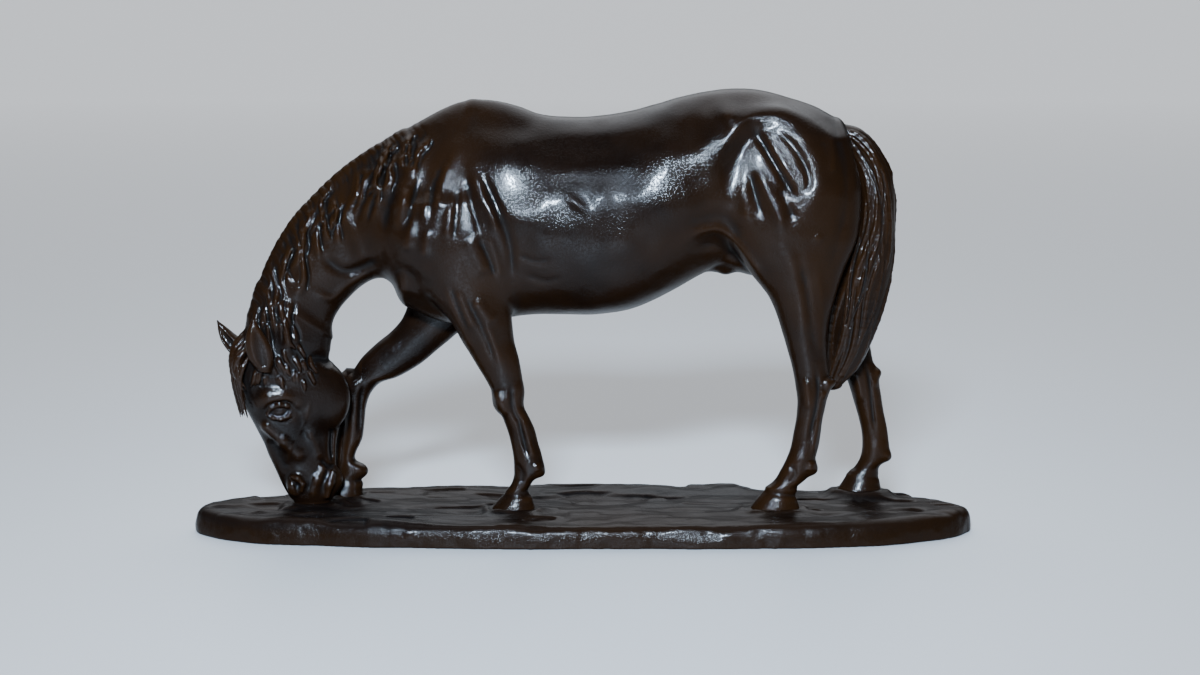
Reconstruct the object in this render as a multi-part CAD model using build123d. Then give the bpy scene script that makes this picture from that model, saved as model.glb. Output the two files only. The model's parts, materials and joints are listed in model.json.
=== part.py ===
from build123d import *
import math
import os

# Tabletop bronze of a grazing horse on an oval ground plinth, as a foundry puts it together:
# hollow and solid castings with pegged joints, pinned and chased flush, held to the hollow
# plinth by threaded studs and nuts. Millimetres. X runs along the plinth with the head
# towards -X, Z is up, and the origin is the middle of the plinth's underside. The horse's
# near (left) side faces -Y.

# ---- plinth ----
PLINTH_LENGTH = 360.0
PLINTH_WIDTH = 100.0
PLINTH_EDGE = 10.5          # height of the plinth's side wall
PLINTH_EDGE_ROUND = 3.0
PLINTH_ROUND_STEPS = 5
PLINTH_WALL = 5.0
PLINTH_ROOF = 7.0           # underside of the roof above the table
BOSS_FACE = 5.2             # seat of the washers
BOSS_RADIUS = 7.5
MOUND_SPREAD = 3.0          # how much wider a mound is at the ground than under its hoof
MOUND_ROOT = 8.5            # the mounds start inside the roof

# ---- fixings ----
STUD_RADIUS = 1.95
STUD_BORE = 2.0
STUD_CLEARANCE_HOLE = 2.25
STUD_FOOT = 0.9             # lower end of a stud, above the table
STUD_BITE = 9.0             # how far a stud runs into a hoof or the muzzle
WASHER_RADIUS = 4.5
WASHER_THICKNESS = 0.8
NUT_ACROSS_FLATS = 7.0
NUT_HEIGHT = 3.2
PIN_RADIUS = 1.0
PIN_BORE = 1.03
PEG_SLACK = 0.06            # gap round every joint peg
PEG_END_GAP = 0.4

# ---- castings ----
WALL = 4.0                  # wall of the hollow trunk and neck
LEG_JOINT = 90.0            # height of the four leg joints
LEG_PEG_RADIUS = 4.2
LEG_PEG_LENGTH = 9.0
NECK_JOINT = -86.0          # X of the joint between trunk and neck
COLLAR_LENGTH = 8.0         # sleeve of the neck inside the trunk
COLLAR_STEP = 2.5           # how much thicker the neck's wall is than the trunk's
TAIL_SEAT_RADIUS = 6.2      # flat seat cut in the rump for the root of the tail
TAIL_SEAT_REACH = 9.0
TAIL_PEG_RADIUS = 2.2
TAIL_PEG_LENGTH = 9.0
CORE_PLUG_RADIUS = 2.5
CORE_PLUG_BORE = 2.54
PLUG_GAP = 0.05
PLUG_SINK = 1.8             # the plugs are filled over and chased, this far below the skin

# Plan of the plinth, front side from left to right and back again along the rear.
PLAN = [
    (-180, -7), (-171, -23), (-150, -37), (-118, -43), (-78, -48), (-35, -50), (25, -50), (85, -49),
    (128, -44), (155, -34), (172, -20), (180, -3), (174, 10), (158, 28), (132, 42), (85, 48),
    (25, 50), (-35, 50), (-78, 46), (-118, 40), (-150, 29), (-173, 10),
]

# A station is (x, z) of one edge of the side profile, (x, z) of the opposite edge, the Y of
# its middle and its half width. Widest, where given, says how far between the two edges the
# section is widest.
TRUNK = [
    ((-86, 183.5), (-86, 113), 0, 20.0, 0.58),
    ((-75, 190), (-75, 101), 0, 24.5, 0.56),
    ((-60, 196), (-60, 95.5), 0, 27.5, 0.55),
    ((-45, 197.5), (-45, 97), 0, 29.0, 0.55),
    ((-25, 192.5), (-25, 102), 0, 31.0, 0.52),
    ((0, 190), (0, 101.5), 0, 32.5, 0.52),
    ((25, 192.5), (25, 106), 0, 32.0, 0.50),
    ((50, 199), (50, 120.5), 0, 30.5, 0.46),
    ((70, 202), (70, 126), 0, 29.5, 0.42),
    ((90, 199), (90, 130), 0, 28.5, 0.45),
    ((106, 192.5), (106, 134), 0, 25.5, 0.48),
    ((118, 185.5), (118, 141), 0, 19.0, 0.50),
    ((125, 174), (125, 150), 0, 9.0, 0.50),
]
NECK = [
    ((-86, 183.5), (-86, 113), 0, 20.0, 0.58),
    ((-98, 176), (-93, 117.5), 0, 16.0, 0.56),
    ((-109, 168), (-100, 117), 0, 13.5, 0.55),
    ((-121, 157.5), (-107, 112), 0, 12.0, 0.54),
    ((-133, 143.5), (-113, 105.5), 0, 11.0, 0.53),
    ((-143, 127.5), (-117, 99.5), 0, 10.5, 0.52),
    ((-149.5, 110), (-118.8, 92.5), 0, 10.3, 0.52),
]
HEAD = [
    ((-149.5, 110), (-118.8, 92.5), 0, 10.3, 0.52),
    ((-154.0, 98), (-118.3, 85), 0, 10.8, 0.5),
    ((-159.5, 86), (-117.5, 77.5), 0, 12.0, 0.5),
    ((-161, 74), (-111.5, 69.5), 0, 13.3, 0.5),
    ((-158.5, 60.5), (-108.7, 60.5), 0, 13.2, 0.48),
    ((-153.5, 50), (-111.5, 51), 0, 11.4, 0.45),
    ((-148.5, 40.5), (-114, 42), 0, 9.2, 0.45),
    ((-144.2, 31.5), (-115.5, 32), 0, 7.9, 0.5),
    ((-140.5, 22.5), (-113.5, 23.5), 0, 7.8, 0.5),
    ((-137.5, 16), (-114.2, 17), 0, 7.0, 0.5),
    ((-134, 12.2), (-117.5, 12.2), 0, 5.4, 0.5),
]
NEAR_ARM = [
    ((-84, 142), (-40, 142), -13.5, 13.0),
    ((-79, 126), (-36, 126), -15.0, 12.8),
    ((-70, 112), (-34.5, 112), -16.0, 11.3),
    ((-61.5, 100), (-34, 100), -16.3, 9.8),
    ((-55.2, LEG_JOINT), (-32.7, LEG_JOINT), -16.0, 8.4),
]
OFF_ARM = [
    ((-82, 142), (-42, 142), 13.5, 13.0),
    ((-82, 126), (-42, 126), 15.0, 12.8),
    ((-82, 112), (-46, 112), 16.5, 11.5),
    ((-81.5, 100), (-54, 100), 17.8, 9.6),
    ((-89.7, LEG_JOINT), (-62, LEG_JOINT), 19.0, 8.2),
]
NEAR_THIGH = [
    ((66, 166), (120, 166), -13.0, 12.5),
    ((67, 150), (125, 150), -14.5, 13.6),
    ((71, 132), (121, 132), -15.2, 13.0),
    ((79, 118), (117, 118), -15.6, 11.4),
    ((86.5, 104), (113, 104), -16.0, 9.6),
    ((91.6, LEG_JOINT), (110, LEG_JOINT), -16.0, 8.0),
]
OFF_THIGH = [
    ((66, 166), (120, 166), 13.0, 12.5),
    ((70, 150), (125, 150), 14.5, 13.6),
    ((77, 132), (124, 132), 15.5, 13.0),
    ((88, 118), (125, 118), 17.0, 11.4),
    ((98, 104), (128, 104), 18.6, 9.6),
    ((106, LEG_JOINT), (131, LEG_JOINT), 20.0, 8.2),
]
NEAR_FORELEG = [
    ((-55.2, LEG_JOINT), (-32.7, LEG_JOINT), -16, 8.4),
    ((-50.2, 82), (-31, 82), -16, 7.6),
    ((-45.3, 72.5), (-29.2, 72.5), -16, 6.7),
    ((-41.2, 63), (-28, 63), -16, 6.4),
    ((-37.2, 52.5), (-25.1, 52.5), -16, 4.9),
    ((-33.6, 43), (-20.8, 43), -16, 4.8),
    ((-32.3, 35), (-18.8, 35), -16, 5.3),
    ((-32.2, 29), (-20.2, 29), -16, 5.2),
    ((-33.3, 24.5), (-24.4, 24.5), -16, 4.7),
    ((-37.5, 19), (-25.2, 19), -16, 5.6),
    ((-41.3, 14.5), (-23.8, 14.5), -16, 7.2),
    ((-42.3, 12.5), (-23, 12.5), -16, 7.6),
]
OFF_FORELEG = [
    ((-89.7, LEG_JOINT), (-62, LEG_JOINT), 19, 8.2),
    ((-97.1, 82.5), (-68.7, 82.5), 19, 7.8),
    ((-106.2, 73.5), (-83, 73.5), 19, 7.1),
    ((-111, 67), (-92.8, 67), 19, 6.8),
    ((-112.6, 61), (-99.8, 61), 19, 6.2),
    ((-113.4, 47), (-104, 47), 19, 4.8),
    ((-114.4, 36.5), (-105.4, 36.5), 19, 5.3),
    ((-115, 31.2), (-107.4, 31.2), 19, 4.8),
    ((-116.6, 26.5), (-104.6, 26.5), 19, 5.8),
    ((-120, 19.5), (-104.2, 19.5), 19, 7.2),
    ((-122, 14.5), (-105.6, 14.5), 19, 7.5),
]
NEAR_HINDLEG = [
    ((91.6, LEG_JOINT), (110, LEG_JOINT), -16, 8.0),
    ((94.3, 82), (109.6, 82), -16, 7.0),
    ((96.3, 73), (110.4, 73), -16, 6.4),
    ((97.3, 65.5), (109.8, 65.5), -16, 6.1),
    ((97.0, 55), (107.5, 55), -16, 4.9),
    ((94.3, 43), (105.7, 43), -16, 4.7),
    ((90.4, 32.5), (104.2, 32.5), -16, 5.4),
    ((87.2, 26.8), (102.4, 26.8), -16, 5.2),
    ((84, 23), (98.2, 23), -16, 4.8),
    ((80.3, 18.5), (96.2, 18.5), -16, 5.8),
    ((76.8, 14.5), (96.6, 14.5), -16, 7.2),
    ((75.6, 12.5), (97.3, 12.5), -16, 7.6),
]
OFF_HINDLEG = [
    ((106, LEG_JOINT), (131, LEG_JOINT), 20, 8.2),
    ((112.5, 82), (133.6, 82), 20, 7.2),
    ((118.5, 74), (135, 74), 20, 6.5),
    ((122.4, 67), (135.8, 67), 20, 6.1),
    ((126.4, 56), (138.3, 56), 20, 4.9),
    ((129, 46), (140.8, 46), 20, 4.6),
    ((129.9, 35.5), (144, 35.5), 20, 5.4),
    ((128.8, 29), (142.8, 29), 20, 5.1),
    ((126.6, 24.8), (138.2, 24.8), 20, 4.7),
    ((123, 20), (137.8, 20), 20, 5.9),
    ((120.2, 16), (139.2, 16), 20, 7.1),
    ((119.3, 14.5), (140.1, 14.5), 20, 7.5),
]
TAIL = [
    ((117.5, 179.5), (119.5, 186.5), 0, 3.6),
    ((124.5, 177.0), (130.5, 182.5), 0, 5.0),
    ((127.5, 169), (138, 171), 0, 6.6),
    ((127.6, 156), (142.0, 156), 0, 8.4),
    ((124.6, 140), (141.6, 139), 0, 9.0),
    ((120.6, 124), (140.6, 122), 0, 8.6),
    ((117.6, 108), (137.8, 106), 0, 7.6),
    ((113.6, 90), (132.2, 89), 0, 6.6),
    ((111.4, 76), (125.0, 76), 0, 4.8),
    ((110.8, 66), (115.4, 66.6), 0, 1.8),
]
NEAR_EAR = [
    ((-152, 77), (-145.5, 75.5), -9.5, 3.0),
    ((-155.5, 85), (-146, 83.5), -13.0, 3.4),
    ((-155.5, 92), (-148, 91), -15.0, 2.8),
    ((-153.6, 98.4), (-152.0, 98.2), -16.0, 0.7),
]
OFF_EAR = [
    ((-156, 79), (-150, 84), 6.5, 2.8),
    ((-161.5, 82.5), (-156, 87.5), 10.5, 3.2),
    ((-166, 87.5), (-161.5, 91.5), 13.5, 2.6),
    ((-168.6, 94), (-167.2, 95.1), 15.5, 0.7),
]

# Each foot: X and Y of its stud, height of the seat, half length and half width of the seat.
FEET = {
    "near_foreleg": (-31.5, -16.0, 12.5, 11.2, 8.0),
    "off_foreleg": (-112.5, 19.0, 14.5, 9.2, 8.0),
    "near_hindleg": (88.0, -16.0, 12.5, 12.2, 8.0),
    "off_hindleg": (130.5, 20.0, 14.5, 11.2, 8.0),
    "muzzle": (-125.8, 0.0, 12.2, 9.2, 6.4),
}
# Each leg peg: X and Y of its axis.
LEG_PEGS = {
    "near_foreleg": (-44.0, -16.0),
    "off_foreleg": (-73.0, 19.0),
    "near_hindleg": (101.0, -16.0),
    "off_hindleg": (117.0, 20.0),
}
PIN_HEIGHT = LEG_JOINT + 0.5 * LEG_PEG_LENGTH
LEG_PIN_LENGTH = 11.0
HEAD_PIN_LENGTH = 14.0
TAIL_PIN_LENGTH = 11.0
PIN_END_GAP = 0.1
NECK_PINS = ((-82.5, 160.0, 18.0), (-82.5, 138.0, 19.4))   # X, Z and how far out each one starts
NECK_PIN_LENGTH = 6.5
HEAD_PEG = (18.0, 9.0, 7.0)                      # length, width and height of the poll peg
CORE_PLUGS = ((-5.0, -1), (32.0, -1), (-35.0, 1), (88.0, 1))   # X, and -1 belly or 1 back


def section(front, rear, y_mid, half_width, widest=0.5):
    """Closed oval outline between two points of the side profile, widest part way along."""
    front, rear = Vector(front[0], y_mid, front[1]), Vector(rear[0], y_mid, rear[1])
    bulge = Vector(0, half_width * 4 / 3, 0)
    slide = (rear - front) * ((widest - 0.5) * 4 / 3)
    halves = []
    for side in (-1, 1):
        out = bulge * side + slide
        halves.append(Edge.make_bezier(front, front + out, rear + out, rear))
    return Wire(halves)


def skin(stations):
    """Solid lofted through a list of stations."""
    return Solid.make_loft([section(*s) for s in stations])


def inset(stations, wall):
    """The same stations, drawn in by a wall on every side."""
    inner = []
    for front, rear, y_mid, half_width, widest in stations:
        a = Vector(front[0], front[1], 0)
        b = Vector(rear[0], rear[1], 0)
        step = (b - a).normalized() * wall
        a, b = a + step, b - step
        inner.append(((a.X, a.Y), (b.X, b.Y), y_mid, half_width - wall, widest))
    return inner


def rod(radius, start, end):
    """Round bar between two points."""
    start, end = Vector(*start), Vector(*end)
    return Solid.make_cylinder(radius, (end - start).length, Plane(origin=start, z_dir=end - start))


def plan_outline(drawn_in=0.0):
    """Plan of the plinth at its full size, or drawn in all round by a distance."""
    box = Edge.make_spline([Vector(x, y) for x, y in PLAN], periodic=True).bounding_box()
    middle = box.center()
    along = (PLINTH_LENGTH - 2 * drawn_in) / box.size.X
    across = (PLINTH_WIDTH - 2 * drawn_in) / box.size.Y
    points = [Vector((x - middle.X) * along, (y - middle.Y) * across) for x, y in PLAN]
    return make_face(Edge.make_spline(points, periodic=True))


def rounded_edge():
    """Top of the plinth, rounded over from the side wall."""
    layers = []
    for i in range(PLINTH_ROUND_STEPS + 1):
        turn = math.pi / 2 * i / PLINTH_ROUND_STEPS
        height = PLINTH_EDGE - PLINTH_EDGE_ROUND * (1 - math.sin(turn))
        layers.append(Pos(0, 0, height) * plan_outline(PLINTH_EDGE_ROUND * (1 - math.cos(turn))))
    return loft(layers, ruled=True)


def plinth():
    """Hollow ground plinth with a mound under each foot and a bored boss below it."""
    body = extrude(plan_outline(), PLINTH_EDGE - PLINTH_EDGE_ROUND) + rounded_edge()
    body -= extrude(plan_outline(PLINTH_WALL), PLINTH_ROOF)
    for x, y, seat, half_length, half_width in FEET.values():
        foot = Pos(x, y, MOUND_ROOT) * Ellipse(half_length + MOUND_SPREAD, half_width + MOUND_SPREAD)
        top = Pos(x, y, seat) * Ellipse(half_length, half_width)
        body += loft([foot, top])
        body += rod(BOSS_RADIUS, (x, y, BOSS_FACE), (x, y, MOUND_ROOT))
    for x, y, seat, _, _ in FEET.values():
        body -= rod(STUD_CLEARANCE_HOLE, (x, y, 0), (x, y, seat + 1))
    return body


def studs():
    return [rod(STUD_RADIUS, (x, y, STUD_FOOT), (x, y, seat + STUD_BITE))
            for x, y, seat, _, _ in FEET.values()]


def stud_bore(name):
    """Blind hole that a foot's stud screws into."""
    x, y, seat, _, _ = FEET[name]
    return rod(STUD_BORE, (x, y, seat - 1), (x, y, seat + STUD_BITE + PEG_END_GAP))


def washers():
    low = BOSS_FACE - WASHER_THICKNESS
    return [rod(WASHER_RADIUS, (x, y, low), (x, y, BOSS_FACE))
            - rod(STUD_CLEARANCE_HOLE, (x, y, low - 1), (x, y, BOSS_FACE + 1))
            for x, y, _, _, _ in FEET.values()]


def nuts():
    top = BOSS_FACE - WASHER_THICKNESS
    corner_radius = NUT_ACROSS_FLATS / math.sqrt(3)
    made = []
    for x, y, _, _, _ in FEET.values():
        hexagon = Pos(x, y, top - NUT_HEIGHT) * RegularPolygon(corner_radius, 6)
        made.append(extrude(hexagon, NUT_HEIGHT) - rod(STUD_BORE, (x, y, 0), (x, y, top + 1)))
    return made


def leg(name, stations):
    """Solid leg casting with the joint peg on top, drilled for its stud and its pin."""
    x, y = LEG_PEGS[name]
    body = skin(stations)
    body += rod(LEG_PEG_RADIUS, (x, y, LEG_JOINT - 2), (x, y, LEG_JOINT + LEG_PEG_LENGTH))
    body -= stud_bore(name)
    return body - leg_pin(name, PIN_BORE, LEG_PIN_LENGTH + 0.1)


def leg_pin(name, radius, length):
    x, y = LEG_PEGS[name]
    return rod(radius, (x, y - length / 2, PIN_HEIGHT), (x, y + length / 2, PIN_HEIGHT))


def neck_pins(radius, slack=0.0):
    """Pins through the front wall of the trunk and the collar of the neck, on the near side."""
    return [rod(radius, (x, -y - slack, z), (x, NECK_PIN_LENGTH - y + slack, z))
            for x, z, y in NECK_PINS]


def neck_collar():
    """Oval sleeve of the neck that plugs into the open front of the hollow trunk."""
    outer = inset(NECK[:1], WALL + PEG_SLACK)[0]
    inner = inset(NECK[:1], 2 * WALL)[0]

    def tube(station):
        front, rear, y_mid, half_width, widest = station
        ends = []
        for x in (NECK_JOINT - COLLAR_STEP, NECK_JOINT + COLLAR_LENGTH):
            ends.append(section((x, front[1]), (x, rear[1]), y_mid, half_width, widest))
        return Solid.make_loft(ends, True)

    return tube(outer) - tube(inner)


def head_peg(slack):
    """Oblong peg on the head's joint face, square to that face."""
    front, rear = HEAD[0][0], HEAD[0][1]
    along = Vector(rear[0] - front[0], 0, rear[1] - front[1])
    middle = Vector((front[0] + rear[0]) / 2, 0, (front[1] + rear[1]) / 2)
    upward = Vector(-along.Z, 0, along.X)
    plane = Plane(origin=middle, x_dir=along, z_dir=upward)
    length, width, height = HEAD_PEG
    size = (length + 2 * slack, width + 2 * slack, 2 * (height + (PEG_END_GAP if slack else 0)))
    return plane * Box(*size), plane


def head_pins(radius, length):
    _, plane = head_peg(0)
    made = []
    for offset in (-HEAD_PEG[0] / 4, HEAD_PEG[0] / 4):
        at = plane.from_local_coords(Vector(offset, 0, HEAD_PEG[2] / 2))
        made.append(rod(radius, (at.X, -length / 2, at.Z), (at.X, length / 2, at.Z)))
    return made


def tail_axis():
    """Middle of the tail's root face, and the direction in which the tail leaves the rump."""
    low, high = TAIL[0][0], TAIL[0][1]
    middle = Vector((low[0] + high[0]) / 2, 0, (low[1] + high[1]) / 2)
    outward = Vector(high[1] - low[1], 0, low[0] - high[0]).normalized()
    return middle, outward


def tail_bar(radius, start, end):
    """Bar along the tail's root axis; distances run outward from the root face."""
    middle, outward = tail_axis()
    return rod(radius, tuple(middle + outward * start), tuple(middle + outward * end))


def tail_pin(radius, length):
    middle, outward = tail_axis()
    at = middle - outward * (TAIL_PEG_LENGTH / 2)
    return rod(radius, (at.X, -length / 2, at.Z), (at.X, length / 2, at.Z))


def core_plug_bar(x, side, radius):
    """Upright bar through the belly wall or the back wall."""
    low, high = (90, 122) if side < 0 else (180, 206)
    return rod(radius, (x, 0, low), (x, 0, high))


def cavity(stations, wall):
    return skin(inset(stations, wall))


def trunk_parts():
    """Hollow trunk with shoulders and thighs, and the plugs that close its core holes."""
    core = cavity(TRUNK[:-2], WALL)
    outer = skin(TRUNK)
    sunk_wall = skin(inset(TRUNK[:-1], PLUG_SINK)) - core
    plugs = [core_plug_bar(x, side, CORE_PLUG_RADIUS) & sunk_wall for x, side in CORE_PLUGS]

    trunk = outer
    for limb in (NEAR_ARM, OFF_ARM, NEAR_THIGH, OFF_THIGH):
        trunk += skin(limb)
    trunk -= core
    filled = skin(inset(TRUNK[:-1], PLUG_SINK - PLUG_GAP))
    trunk -= [core_plug_bar(x, side, CORE_PLUG_BORE) & filled for x, side in CORE_PLUGS]
    peg_depth = LEG_PEG_LENGTH + PEG_END_GAP
    for name, (x, y) in LEG_PEGS.items():
        trunk -= rod(LEG_PEG_RADIUS + PEG_SLACK, (x, y, LEG_JOINT - 1), (x, y, LEG_JOINT + peg_depth))
        trunk -= leg_pin(name, PIN_BORE, LEG_PIN_LENGTH + PIN_END_GAP)
    trunk -= tail_bar(TAIL_SEAT_RADIUS, 0, TAIL_SEAT_REACH)
    trunk -= tail_bar(TAIL_PEG_RADIUS + PEG_SLACK, 1, -TAIL_PEG_LENGTH - PEG_END_GAP)
    trunk -= tail_pin(PIN_BORE, TAIL_PIN_LENGTH + PIN_END_GAP)
    trunk -= neck_pins(PIN_BORE, PIN_END_GAP)
    return trunk, plugs


def neck():
    body = skin(NECK) - cavity(NECK[:-2], WALL + COLLAR_STEP)
    body += neck_collar()
    body -= head_peg(PEG_SLACK)[0]
    body -= neck_pins(PIN_BORE, PIN_END_GAP)
    return body - head_pins(PIN_BORE, HEAD_PIN_LENGTH + PIN_END_GAP)


def head():
    body = skin(HEAD) + skin(NEAR_EAR) + skin(OFF_EAR) + head_peg(0)[0]
    body -= stud_bore("muzzle")
    return body - head_pins(PIN_BORE, HEAD_PIN_LENGTH + PIN_END_GAP)


def tail():
    body = skin(TAIL) + tail_bar(TAIL_PEG_RADIUS, 1, -TAIL_PEG_LENGTH)
    return body - tail_pin(PIN_BORE, TAIL_PIN_LENGTH + PIN_END_GAP)


def main():
    os.makedirs("parts", exist_ok=True)
    trunk, core_plugs = trunk_parts()
    parts = {
        "base_casting": plinth(),
        "trunk_casting": trunk,
        "neck_casting": neck(),
        "head_casting": head(),
        "near_foreleg": leg("near_foreleg", NEAR_FORELEG),
        "off_foreleg": leg("off_foreleg", OFF_FORELEG),
        "near_hindleg": leg("near_hindleg", NEAR_HINDLEG),
        "off_hindleg": leg("off_hindleg", OFF_HINDLEG),
        "tail_casting": tail(),
        "base_studs": studs(),
        "base_washers": washers(),
        "base_nuts": nuts(),
        "leg_joint_pins": [leg_pin(name, PIN_RADIUS, LEG_PIN_LENGTH) for name in LEG_PEGS],
        "neck_joint_pins": neck_pins(PIN_RADIUS),
        "head_joint_pins": head_pins(PIN_RADIUS, HEAD_PIN_LENGTH),
        "tail_joint_pin": tail_pin(PIN_RADIUS, TAIL_PIN_LENGTH),
        "core_plugs": core_plugs,
    }
    for name, shape in parts.items():
        pieces = shape if isinstance(shape, list) else [shape]
        solids = [solid for piece in pieces for solid in piece.solids()]
        export_step(Compound(children=solids) if len(solids) > 1 else solids[0], f"parts/{name}.step")


main()
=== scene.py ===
import json
import math

import bmesh
import bpy
import numpy as np
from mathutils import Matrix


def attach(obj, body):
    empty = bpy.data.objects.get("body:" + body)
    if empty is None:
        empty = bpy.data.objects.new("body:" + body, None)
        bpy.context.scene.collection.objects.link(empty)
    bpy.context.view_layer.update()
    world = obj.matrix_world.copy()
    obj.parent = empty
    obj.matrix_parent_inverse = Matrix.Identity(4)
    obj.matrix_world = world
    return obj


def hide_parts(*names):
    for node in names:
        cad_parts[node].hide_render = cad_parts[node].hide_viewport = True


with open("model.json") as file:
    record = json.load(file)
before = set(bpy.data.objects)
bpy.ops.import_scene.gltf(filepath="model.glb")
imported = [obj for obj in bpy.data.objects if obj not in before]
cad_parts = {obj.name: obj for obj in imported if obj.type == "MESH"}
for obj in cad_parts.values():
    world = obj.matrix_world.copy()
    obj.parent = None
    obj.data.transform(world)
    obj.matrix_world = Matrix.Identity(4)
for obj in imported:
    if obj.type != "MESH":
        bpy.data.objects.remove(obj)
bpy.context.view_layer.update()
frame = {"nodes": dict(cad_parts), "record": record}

import openvdb
from mathutils import Vector

# The castings are sculpted as signed distance fields in millimetres (negative inside), one
# lattice per casting, meshed with OpenVDB and cut at the joint planes. The horse is modelled
# with its head straight; the whole neck and head are then turned a little to the near side
# (-Y). Limbs are given by (front x, front z, rear x, rear z, middle y, half width) stations.

MM = 0.001
FAR = 9.0      # distance that a lattice starts with, clear of every shape
ASIDE = 99.0   # farther off the middle plane than any casting


def ease(t):
    """Smooth step of t from 0 to 1."""
    t = np.clip(t, 0, 1)
    return t * t * (3 - 2 * t)


def cos_sin(degrees):
    return math.cos(math.radians(degrees)), math.sin(math.radians(degrees))


# ---- fields

class Lattice:
    """A block of sample points that shapes are blended into or carved out of."""

    def __init__(self, low, high, step):
        self.step = step
        self.first = [math.floor(v / step) for v in low]
        count = [math.ceil(h / step) - f + 1 for h, f in zip(high, self.first)]
        self.axes = [np.arange(f, f + n).astype(np.float32) * step for n, f in zip(count, self.first)]
        self.value = np.full(count, FAR, dtype=np.float32)

    def window(self, low, high):
        """Slices and coordinates of the part of the block between two corners, or None."""
        cut = []
        for axis, a, b in zip(self.axes, low, high):
            i, j = np.searchsorted(axis, (a, b))
            if j <= i:
                return None
            cut.append(slice(i, j))
        x, y, z = (axis[c] for axis, c in zip(self.axes, cut))
        return tuple(cut), x[:, None, None], y[None, :, None], z[None, None, :]

    def put(self, cut, dist, k):
        """Blend a shape in over k mm, or carve it out where k < 0."""
        sign = 1 if k > 0 else -1
        k = abs(k)
        old = self.value[cut] * sign
        near = np.maximum(k - np.abs(old - dist), 0.0)
        self.value[cut] = (np.minimum(old, dist) - near * near * (0.25 / k)) * sign


def spaced(rows, steps):
    """Catmull-Rom samples through rows of numbers, with a number of steps between rows."""
    rows = np.array(rows, dtype=np.float64)
    pad = np.vstack([2 * rows[0] - rows[1], rows, 2 * rows[-1] - rows[-2]])
    out = []
    for a, b, c, d in zip(pad, pad[1:], pad[2:], pad[3:]):
        t = np.linspace(0, 1, steps, endpoint=False)[:, None]
        out.append(b + 0.5 * t * (c - a + t * (2 * a - 5 * b + 4 * c - d + t * (3 * (b - c) + d - a))))
    out.append(rows[-1:])
    return np.vstack(out)


def tube(lat, rows, k, cap=6.0, steps=10):
    """Oval body swept through stations. Optional columns after the half width: where along
    the section it is widest (0.5) and how much its front edge is pinched (0)."""
    s = spaced([tuple(r) + (0.5, 0.0)[len(r) - 6:] for r in rows], steps)
    reach = cap + abs(k) + 2
    side = s[:, 5].max() + abs(k) + 3
    low = (s[:, [0, 2]].min() - reach, s[:, 4].min() - side, s[:, [1, 3]].min() - reach)
    high = (s[:, [0, 2]].max() + reach, s[:, 4].max() + side, s[:, [1, 3]].max() + reach)
    found = lat.window(low, high)
    if not found:
        return
    cut, x, y, z = found
    px, pz = x[:, 0, :], z[:, 0, :]
    shape = np.broadcast(px, pz).shape
    # for each point of the side view: its place along the stations, its share of the way from
    # front to rear there, and how far past the end of the body it lies
    unset = 1e9
    beside = 1.6
    best = np.full(shape, unset, dtype=np.float32)
    place, share = np.zeros((2, *shape), dtype=np.float32)
    over = np.full(shape, 50.0, dtype=np.float32)
    for i, (fx, fz, rx, rz) in enumerate(s[:, :4]):
        ax, az = rx - fx, rz - fz
        long = math.hypot(ax, az)
        off = ((px - fx) * az - (pz - fz) * ax) / long
        along = ((px - fx) * ax + (pz - fz) * az) / long ** 2
        if i == 0:
            onward = (s[1, 0] + s[1, 2] - fx - rx) * az - (s[1, 1] + s[1, 3] - fz - rz) * ax
            sign = 1.0 if onward > 0 else -1.0
        off = off * sign
        if i > 0:
            frac = last_off / np.maximum(last_off - off, 1e-6)
            at = last_along + (along - last_along) * frac
            miss = np.abs(at - 0.5)
            use = (last_off >= 0) & (off < 0) & (miss < best) & (miss < beside)
            best = np.where(use, miss, best)
            place = np.where(use, i - 1 + frac, place)
            share = np.where(use, at, share)
            over = np.where(use, 0.0, over)
        if i in (0, len(s) - 1):
            beyond = off if i else -off
            use = (beyond >= 0) & (beyond < over) & (best == unset) & (np.abs(along - 0.5) < beside)
            place = np.where(use, i, place)
            share = np.where(use, along, share)
            over = np.where(use, beyond, over)
        last_off, last_along = off, along
    index = np.arange(len(s))
    half = np.hypot(s[:, 2] - s[:, 0], s[:, 3] - s[:, 1]) / 2

    def column(values):
        return np.interp(place.ravel(), index, values).reshape(shape).astype(np.float32)

    h, mid, w, wide, pinch = (column(values) for values in (half, *s.T[4:]))
    a = 2 * share - 1
    skew = 2 * wide - 1
    a = a - np.clip(skew / (1 - skew ** 2), -0.45, 0.45) * (1 - np.clip(a, -1, 1) ** 2)
    w = w * (1 - pinch * np.exp(-(np.maximum(share, 0) / 0.2) ** 2))
    e = over / cap
    a, h, w, mid, e = (v[:, None, :] for v in (a, h, w, mid, e))
    b = (y - mid) / w
    r = np.sqrt(a * a + b * b + e * e)
    slope = np.sqrt((a / h) ** 2 + (b / w) ** 2 + (e / cap) ** 2)
    lat.put(cut, (r * (r - 1) / np.maximum(slope, 1e-4)).astype(np.float32), k)


def lump(lat, at, size, tilt=0.0, k=4.0, sides=(1,)):
    """Ellipsoid, tilted in the XZ plane, on the wanted sides. k < 0 carves."""
    long, wide, tall = size
    c, s = cos_sin(tilt)
    reach = np.full(3, max(size) + abs(k) + 1.5)
    for side in sides:
        middle = np.array((at[0], at[1] * side, at[2]))
        found = lat.window(middle - reach, middle + reach)
        if not found:
            continue
        cut, x, y, z = found
        x, y, z = x - at[0], y - at[1] * side, z - at[2]
        u, v = x * c + z * s, z * c - x * s
        r = np.sqrt((u / long) ** 2 + (y / wide) ** 2 + (v / tall) ** 2)
        slope = np.sqrt((u / long ** 2) ** 2 + (y / wide ** 2) ** 2 + (v / tall ** 2) ** 2)
        lat.put(cut, r * (r - 1) / np.maximum(slope, 1e-4), k)


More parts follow.
